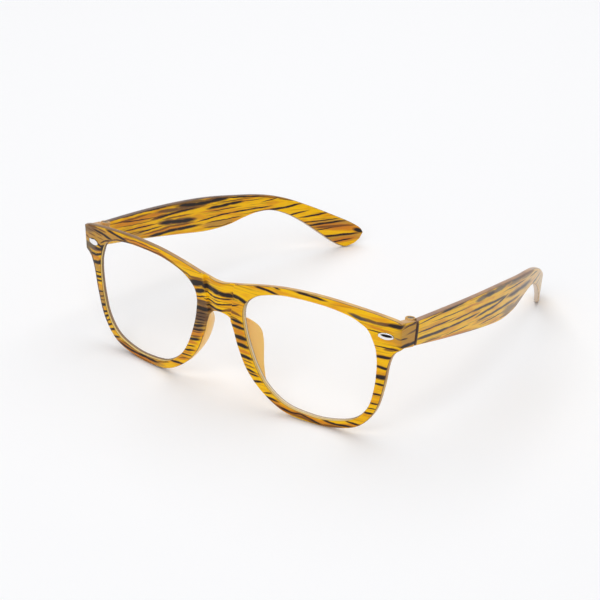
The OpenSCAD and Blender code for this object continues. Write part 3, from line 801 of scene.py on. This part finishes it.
def on_lens(side, p, depth):
    """A place of the lens on one side, given on the printed face with its depth."""
    w = on_front(p[0], depth, p[1])
    return Vector((side * w[0], w[1], w[2]))


def lens_ring(side, share, to_back):
    """One ring of a lens face: a share of its outline about the middle, with the crown."""
    depth = LENS_DEPTH + to_back - CROWN * (1 - share * share)
    edge = [opening[i] - opening_out(i) * LENS_GAP for i in range(count)]
    return [on_lens(side, LENS_MID + (p - LENS_MID) * share, depth) for p in edge]


for side, name in ((1, "left"), (-1, "right")):
    bevel = [on_lens(side, opening[i] + opening_out(i) * BEVEL_REACH, LENS_DEPTH) for i in range(count)]
    rows = ([lens_ring(side, share, -LENS_HALF) for share in reversed(LENS_RINGS)] + [bevel]
            + [lens_ring(side, share, LENS_HALF) for share in LENS_RINGS])
    verts = [p for row in rows for p in row]
    faces = skin(len(rows), count)
    for row, flip in ((0, True), (len(rows) - 1, False)):
        middle = len(verts)
        verts.append(sum(rows[row], Vector((0, 0, 0))) / count)
        for j in range(count):
            fan = [row * count + j, row * count + (j + 1) % count, middle]
            faces.append(fan[::-1] if flip else fan)
    lens = new_solid("lens_clear_" + name, verts, faces)
    dress(lens, clear_lens, ground_edge)
    smooth_by_angle(lens, 30)
    on_bevel = {tuple(round(c, 3) for c in p) for p in bevel}
    for p in lens.data.polygons:
        corners = [tuple(round(c / MM, 3) for c in lens.data.vertices[k].co) for k in p.vertices]
        if any(c in on_bevel for c in corners):
            p.material_index = 1
    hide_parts("lens_" + name)
    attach(lens, "front")

# Temples: moulded in the same amber plastic, with the film on both flat faces.
# The middle knuckle of each hinge is part of the moulding.
THICK, TIP_THICK = 3.0, 2.0
FLARE = radians(2.6)
BOW_DEPTH, BOW_LENGTH, BOW_POWER = 30.0, 137.0, 2.6
START = HINGE_GAP / 2
START_ROUND = ((0, 0.5), (0.15, 0.18), (0.5, 0.0))  # way along the temple, and inset of its edge
TIP_ROUND = 0.4
LEAST_ROUND, MOST_ROUND = 0.15, 0.9
KNUCKLE_EDGE, WEB_INSET = 0.15, 0.1
BORE_R, BORE_HALF = 0.75, 5
FREE = 20  # well past the temple's edges
upper_edge = [(START, 4.85), (23.6, 5.85), (47.8, 6.4), (64, 6.25), (79, 5.4), (88.4, 4.8), (96.6, 3.8),
              (105, 1.9), (113.4, -0.9), (122, -4.2), (130.6, -7.8), (137, -10.6), (141.4, -13.2),
              (143, -15.2)]
lower_edge = [(START, -4.45), (25.3, -6.1), (48, -7.7), (62, -8.4), (73.9, -7.3), (82, -5), (89.5, -3.2),
              (97.5, -3), (106, -5.5), (114.7, -10), (123, -15.4), (129.6, -19.8), (135.3, -22.3),
              (139.3, -21)]
temple_end = [(142.6, -17.3), (141.3, -19.6)]


def bow(s):
    """How far the temple stands outward at a distance along it."""
    return s * tan(FLARE) - BOW_DEPTH * (max(s, 0) / BOW_LENGTH) ** BOW_POWER


def bow_rate(s):
    steepness = BOW_DEPTH * BOW_POWER / BOW_LENGTH
    return tan(FLARE) - steepness * (max(s, 0) / BOW_LENGTH) ** (BOW_POWER - 1)


def temple_section(up, low, thick, inset=0.0):
    """A section across the temple with rounded corners, from its lower edge to its upper one."""
    tall = (up - low).length
    way = (up - low) / tall
    round_edge = max(LEAST_ROUND, min(thick * 0.42, MOST_ROUND) - inset * 0.5)
    out = []
    for p in plate((inset, inset), (thick - inset, tall - inset), round_edge):
        q = low + way * p[1]
        out.append(Vector((TEMPLE_OUT + bow(q[0]) - p[0] * sqrt(1 + bow_rate(q[0]) ** 2), q[0], q[1])))
    return out


def temple_axes(tree):
    """Length along the temple and height across it, from the hinge, in millimetres."""
    p, _ = in_millimetres(tree, (0, HINGE[1], HINGE[2]))
    return dot(tree, p, along_temple), dot(tree, p, (0, sin(SLOPE), cos(SLOPE)))


def temple_film(tree):
    """The film lies on the flat faces and ends at their rounded edges."""
    normal = add_node(tree, "TexCoord").outputs["Normal"]
    return rise(tree, maths(tree, "ABSOLUTE", dot(tree, normal, (1, 0, 0))), 0.35, 0.75)


def temple_bare(first, second):
    """Bare plastic of a temple's edges, mottled between two colours and paler to the tip."""
    def bare(tree):
        u, v = temple_axes(tree)
        colour = mottled(tree, times(tree, u, 0.1), v, first, second)
        return mix(tree, rise(tree, u, 84.0, 112.0), colour, srgb(206, 182, 154))
    return bare


left_marks = {
    "dark": strokes(
        (0.6, 0.7, -4.3, 0.7, 4.6), (0.9, 44, 5.1, 52, 5.1), (0.7, 14, 4.8, 22, 5.6, 31, 6),
        (0.4, 2, 3.6, 14, 4.8), (0.35, 12, 2.8, 31, 3.2), (0.5, 1, 0.3, 11, 0.7, 22, 1.2),
        (0.5, 23, 0.4, 36, 1.1), (0.9, 36, 1.1, 44, 1.3, 52, 1.2, 62, 1.2),
        (1, 1, -2, 11, -1.9, 20, -1.6), (0.7, 20, -1.6, 30, -1.1, 40, -0.6),
        (0.8, 40, -1.7, 48, -1, 56, -0.4, 64, 1.1), (0.8, 42, -3.6, 51, -3.2, 60, -2.9, 70, -2.6),
        (0.4, 45, -5.4, 62, -5.1), (0.35, 20, -4.2, 33, -3.7), (1, 66, 0.2, 78, 0.3, 90, 0.4),
        (0.5, 64, 3.2, 82, 2.9), (0.5, 92, 2.2, 102, 1.6), (0.7, 97, -2.2, 105, -1.8, 112, -1.6),
        (0.6, 103, -5, 115, -4.2), (0.7, 112, -7.6, 124, -6), (0.5, 114, -10.4, 132, -9.2),
        (0.7, 119, -13.4, 137, -12), (0.6, 124, -16.6, 139, -15.6), (0.5, 128, -19.4, 137, -18.8)),
    "brown": strokes(
        (0.9, 4, 5, 16, 5.7, 33, 6.2), (0.6, 8, -5, 26, -5.8, 46, -7), (0.6, 3, -4.2, 16, -4),
        (0.9, 70, 5.4, 84, 4.8, 96, 3.4), (0.7, 120, -12, 134, -17), (0.7, 126, -8, 138, -13),
        (0.8, 62, -2.9, 80, -2.3), (0.9, 60, -7, 70, -7)),
    "amber": strokes(
        (1.6, 5, -4.4, 40, -6), (1, 30, 3.6, 44, 3.4), (1, 2, 5, 20, 6)),
    "grey": strokes(
        (2.8, 65, 0.3, 78, 0.4, 93, 0.5), (3.4, 62, -5.4, 74, -5.4, 85, -4.4),
        (2.4, 64, 5, 78, 4.8, 94, 3.6), (1.4, 58, -2.8, 80, -2.4)),
    "slate": strokes(
        (1.9, 38, 4.6, 45, 5.1, 52, 5.2, 62, 5.6), (1.6, 60, 6, 67, 6.2, 78, 5.6))}
right_marks = {
    "dark": strokes(
        (0.6, 0.7, -4.3, 0.7, 4.6), (0.6, 4, 5, 24, 5.7, 40, 6),
        (1.5, 44, 5.1, 54, 4.5, 63, 4.6, 72, 5.2), (0.6, 72, 5.2, 90, 4.2),
        (1.1, 62, 1.6, 68, 1.9, 74, 2.4, 80, 2.6), (0.5, 12, -0.6, 30, -0.6),
        (1.4, 34, -0.8, 40, -1.2, 47, -1.7, 53, -1.7), (1.2, 28, -5.5, 36, -5.1, 44, -4.9, 56, -4.9),
        (0.4, 5, 3.6, 30, 2.2), (0.5, 20, -2.8, 33, -2.2), (0.6, 57, -3.2, 66, -2.4, 75, -1.6),
        (0.6, 75, -1.6, 85, -1.3, 95, -0.8), (0.4, 62, -4.6, 72, -4.3, 80, -3.8),
        (0.4, 92, 1.5, 100, 2.7), (0.85, 96, -2.8, 103, -2, 111, -1), (0.65, 104, -6.4, 114, -4.4),
        (0.8, 113, -7.1, 124, -5.9), (0.5, 111, -9.9, 122, -9.4, 130, -8.6),
        (0.8, 115, -11.5, 124, -10.7, 133, -9.8), (0.45, 118, -14, 128, -12.8),
        (0.9, 122, -17.3, 130, -16.7, 139.5, -15.8), (0.6, 127, -20, 132, -19.2, 137, -18.4),
        (1.7, 138.6, -14.2, 141.2, -15), (0.7, 30, 1.6, 42, 2.4, 54, 3), (0.4, 64, 0.2, 78, 0.5)),
    "brown": strokes(
        (1.6, 28, 1.4, 38, 2.3, 50, 2.8, 60, 3.6), (0.9, 6, 3.4, 28, 4.4), (0.5, 10, -2, 30, -2.4),
        (0.8, 34, 0.6, 52, 0.6), (0.9, 34, -3, 54, -3.2), (0.5, 8, 1.4, 30, 1), (0.8, 24, -4, 44, -3),
        (0.5, 84, -3, 100, -2), (0.8, 60, -6.7, 70, -6.9, 76, -6.2), (1.2, 118, -12.4, 138, -12),
        (0.6, 66, 3.6, 86, 3.8), (0.7, 84, 4.6, 98, 3, 108, 0.6), (0.5, 80, 2.7, 92, 3)),
    "amber": strokes(
        (4, 118, -11.5, 140, -13.5), (3, 4, 2, 36, 3.6), (3, 128, -19.5, 139, -18),
        (1.2, 56, 0.4, 76, 0.6), (1.6, 24, -4.2, 56, -3.4)),
    "tan": strokes(
        (4.8, 119, -11, 137, -11.4), (4, 126, -18.6, 140, -17.2), (2, 6, -3, 24, -3.4),
        (2.4, 60, -5.6, 76, -5.4)),
    "umber": strokes(
        (1.2, 2, 5.4, 20, 6, 40, 6.2, 60, 5.6, 74, 5.4), (2.8, 33, -0.6, 42, -1.4, 54, -1.8),
        (1.8, 30, 4.2, 44, 3.8, 60, 4.6))}
temple_marks = {"left": left_marks, "right": right_marks}
TEMPLE_REGIONS = (-10, 50, 100, 160)
# bare edges, seed, how the film pales to the tip (first the ground under the inks, then all) and its shine
TEMPLE_LOOKS = {
    "left": (temple_bare(srgb(166, 116, 62), srgb(138, 96, 60)), 4.0,
             ((46, 98), (96, 116), srgb(218, 186, 138)), 0.6),
    # the right temple's bare edges are painted darker than the left's, as painted shade
    "right": (temple_bare(srgb(112, 82, 60), srgb(88, 66, 54)), 9.0, None, 0.2)}
SPLAY = radians(1.5)
for side, name in ((1, "left"), (-1, "right")):
    up = smooth(upper_edge, 6) + [Vector(temple_end[0])]
    low = smooth(lower_edge, 6) + [Vector(temple_end[1])]
    last = len(up) - 1
    rows = [temple_section(up[0] + Vector((on, 0)), low[0] + Vector((on, 0)), THICK, inset)
            for on, inset in START_ROUND]
    for i in range(1, last + 1):
        thick = THICK + (TIP_THICK - THICK) * i / last
        rows.append(temple_section(up[i], low[i], thick, TIP_ROUND if i == last else 0.0))
    temple = loft("temple_striped_" + name, rows)
    for low_z, high_z in ((KNUCKLE_TOP, KNUCKLE_TOP + FREE), (-KNUCKLE_LOW - FREE, -KNUCKLE_LOW)):
        combine(temple, drum("room", KNUCKLE_R + KNUCKLE_ROOM, low_z, high_z), "DIFFERENCE")
    combine(temple, drum("knuckle", KNUCKLE_R, -KNUCKLE_LOW, KNUCKLE_TOP, KNUCKLE_EDGE), "UNION")
    web = box_solid("web", (0, 0, WEB_INSET - KNUCKLE_LOW), (WEB_WIDE, WEB_REACH, KNUCKLE_TOP - WEB_INSET))
    combine(temple, web, "UNION")
    combine(temple, drum("bore", BORE_R, -BORE_HALF, BORE_HALF), "DIFFERENCE")
    place(temple, at_hinge @ Matrix.Rotation(-SPLAY * side, 4, "Z"), side < 0)
    keep_inside(temple)
    smooth_by_angle(temple, 38)
    lay_film(temple, "striped_temple_" + name, TEMPLE_REGIONS,
             lambda place: (place - HINGE).dot(along_temple), temple_marks[name],
             temple_axes, temple_film, *TEMPLE_LOOKS[name])
    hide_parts("temple_" + name)
    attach(temple, name + "_temple")

# Hinge screws: small turned screws of darkened steel with a flat slotted head.
# Each is put in from above, through the three knuckles of its hinge.
SCREW_R, SCREW_INSET = 0.7, 0.4
SCREW_LOW, SCREW_HIGH = BARREL_LOW + SCREW_INSET, BARREL_TOP - SCREW_INSET
HEAD_R, HEAD_DEEP, HEAD_SINK = 1.14, 0.75, 0.1
SLOT_WIDE, SLOT_DEEP, SLOT_TURN = 0.34, 0.3, 0.6
HEAD_TOP = BARREL_TOP - HEAD_SINK
dark_steel, tree, sockets = new_material("dark_steel", {"Roughness": 0.36, "Metallic": 0.85})
feed(tree, sockets["Base Color"],
     mix(tree, fine_noise(tree, 2500.0, 3.0), srgb(84, 80, 70), srgb(140, 134, 120)))
for mirror, name in ((False, "left"), (True, "right")):
    screw = drum("hinge_screw_turned_" + name, SCREW_R, SCREW_LOW, SCREW_HIGH, 0.1)
    combine(screw, drum("head", HEAD_R, HEAD_TOP - HEAD_DEEP, HEAD_TOP, 0.12), "UNION")
    slot_low = Vector((-HEAD_R - 0.2, -SLOT_WIDE / 2, HEAD_TOP - SLOT_DEEP))
    slot_high = Vector((HEAD_R + 0.2, SLOT_WIDE / 2, HEAD_TOP + 0.3))
    slot = place(box_solid("slot", slot_low, slot_high), Matrix.Rotation(SLOT_TURN, 4, "Z"))
    combine(screw, slot, "DIFFERENCE")
    place(screw, at_hinge, mirror)
    smooth_by_angle(screw, 35)
    dress(screw, dark_steel)
    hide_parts("hinge_screw_" + name)
    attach(screw, "front")

# Corner shields: small almond-shaped plates of polished metal, domed, pressed into
# shallow pockets with two pins.
SHIELD_X, SHIELD_Z = 67.3, 41.8
SHIELD_HALF, SHIELD_HIGH, SHIELD_POINT = 2.9, 1.3, 3.4
SHIELD_STEPS = 64
SIDE_TOP = 0.19  # height over the printed face where the polished dome begins
ARC_R = (SHIELD_POINT ** 2 + SHIELD_HIGH ** 2) / 2 / SHIELD_HIGH
SHIELD_ROWS = [(1.0, -0.3), (1.0, 0.1), (0.99, 0.16), (0.965, 0.2), (0.9, 0.235), (0.78, 0.28),
               (0.62, 0.325), (0.44, 0.36), (0.24, 0.385), (0.06, 0.395)]
at_shield = (Matrix.Translation(on_front(SHIELD_X, 0, SHIELD_Z))
             @ Matrix.Rotation(pi / 2 + TILT, 4, "X")
             @ Matrix.Rotation(atan(SHIELD_X / BOW), 4, "Y"))
almond = []
for k in range(SHIELD_STEPS):
    t = 2 * pi * (k + 0.5) / SHIELD_STEPS
    x = SHIELD_HALF * cos(t)
    y = SHIELD_HIGH - ARC_R + sqrt(ARC_R ** 2 - x * x)
    almond.append(Vector((x, copysign(y, sin(t)), 0)))


def bright_metal(name, reflection_marks):
    """Polished metal with fine wear and dark streaks of painted reflection, which are ellipses like those
    of a stroke.
    """
    material, tree, sockets = new_material(name, {"Roughness": 0.16, "Metallic": 1.0})
    colour = mix(tree, fine_noise(tree, 900.0), srgb(250, 250, 250), srgb(232, 232, 234))
    x, _, z, _ = front_place(tree)
    spot = xyz(tree, maths(tree, "SUBTRACT", maths(tree, "ABSOLUTE", x), SHIELD_X),
               maths(tree, "SUBTRACT", z, SHIELD_Z))
    reflected_dark = rise(tree, stroke_height(tree, spot, reflection_marks), 0.0, 0.5)
    feed(tree, sockets["Base Color"], mix(tree, reflected_dark, colour, srgb(38, 34, 32)))
    return material


# The side of each shield below its dome is painted dark brown as painted shade of the gap around it
shield_side_painted_shade, tree, sockets = new_material("shield_side_painted_shade", {"Roughness": 0.5})
feed(tree, sockets["Base Color"], mix(tree, fine_noise(tree, 1200.0), srgb(60, 46, 34), srgb(96, 78, 58)))
# dark streaks painted on each shield as reflections
REFLECTION_STREAKS = {"left": [(0.4, 0.34, -0.03, 2.5, 0.62)],
           "right": [(2.9, 0.25, 1.2, 1.3, 0.6), (0.9, 1.2, -0.1, 2.2, 0.3)]}
for mirror, name in ((False, "left"), (True, "right")):
    rows = [[Vector((p[0] * share, p[1] * share, height)) for p in almond] for share, height in SHIELD_ROWS]
    shield = loft("shield_domed_" + name, rows)
    place(shield, at_shield, mirror)
    smooth_by_angle(shield, 50)
    dress(shield, bright_metal("bright_metal_" + name, REFLECTION_STREAKS[name]), shield_side_painted_shade)
    level = at_shield.inverted()
    for p in shield.data.polygons:
        p.material_index = 1 if (level @ unmirrored(p.center))[2] < SIDE_TOP else 0
    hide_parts("shield_" + name)
    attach(shield, "front")

# Table: a plain pale sheet that keeps the soft shadow of the glasses and runs out into
# the pale surround, with two large soft lamps.
TABLE_R, FADE_FROM, FADE_TO = 1.5, 0.75, 1.45
bpy.ops.mesh.primitive_circle_add(vertices=96, radius=TABLE_R, fill_type="NGON", location=(0, 0, -0.0002))
floor = bpy.context.object
floor.name = "floor"
pale_sheet, tree, sockets = new_material("pale_sheet", {
    "Base Color": srgb(250, 250, 251), "Roughness": 0.8, "Specular IOR Level": 0.1})
coords = add_node(tree, "TexCoord").outputs["Object"]
from_centre = maths(tree, "SQRT", dot(tree, coords, coords))
feed(tree, sockets["Alpha"], rise(tree, from_centre, FADE_TO, FADE_FROM))
dress(floor, pale_sheet)

SOFT_LIGHT, SEEN_LIGHT = 0.3, 0.93
world = bpy.data.worlds.new("surround")
bpy.context.scene.world = world
world.use_nodes = True
tree = world.node_tree
surround = tree.nodes["Background"].inputs
surround["Color"].default_value = (0.97, 0.98, 1.0, 1)
rays = add_node(tree, "LightPath").outputs
seen = maths(tree, "MAXIMUM", rays["Is Camera Ray"], rays["Is Glossy Ray"])
seen = maths(tree, "MAXIMUM", seen, rays["Is Transmission Ray"])
feed(tree, surround["Strength"], maths(tree, "MULTIPLY_ADD", seen, SEEN_LIGHT - SOFT_LIGHT, SOFT_LIGHT))


def lamp(name, spot, aim, size, power):
    light = bpy.data.lights.new(name, "AREA")
    light.shape = "DISK"
    light.size = size
    light.energy = power
    obj = add_object(name, light)
    obj.location = spot
    obj.rotation_euler = (Vector(aim) - Vector(spot)).to_track_quat("-Z", "Y").to_euler()


lamp("lamp_over", (-0.3, 0.5, 1.6), (0, 0, 0), 2.6, 25.0)
lamp("lamp_front", (0.6, -1.5, 1.3), (0, 0, 0.02), 1.6, 15.0)

# Camera: a long lens at the photograph's viewing angle, in front of the glasses,
# above them and towards the wearer's left.
EYE = Vector((314.54, -388.65 - CENTRE_Y, 267.54))
camera = add_object("camera", bpy.data.cameras.new("camera"))
camera.data.lens = 91.45
camera.data.sensor_width = 36.0
camera.data.clip_start = 0.01
camera.data.clip_end = 20
right_way = Vector((0.80696, 0.59034, 0.01769)).normalized()
back_way = Vector((0.53083, -0.7381, 0.41646)).normalized()
up_way = back_way.cross(right_way).normalized()
turn = Matrix((right_way, up_way, back_way)).transposed().to_4x4()
camera.matrix_world = Matrix.Translation(EYE * MM) @ turn
bpy.context.scene.camera = camera
bpy.context.scene.view_settings.view_transform = "Standard"
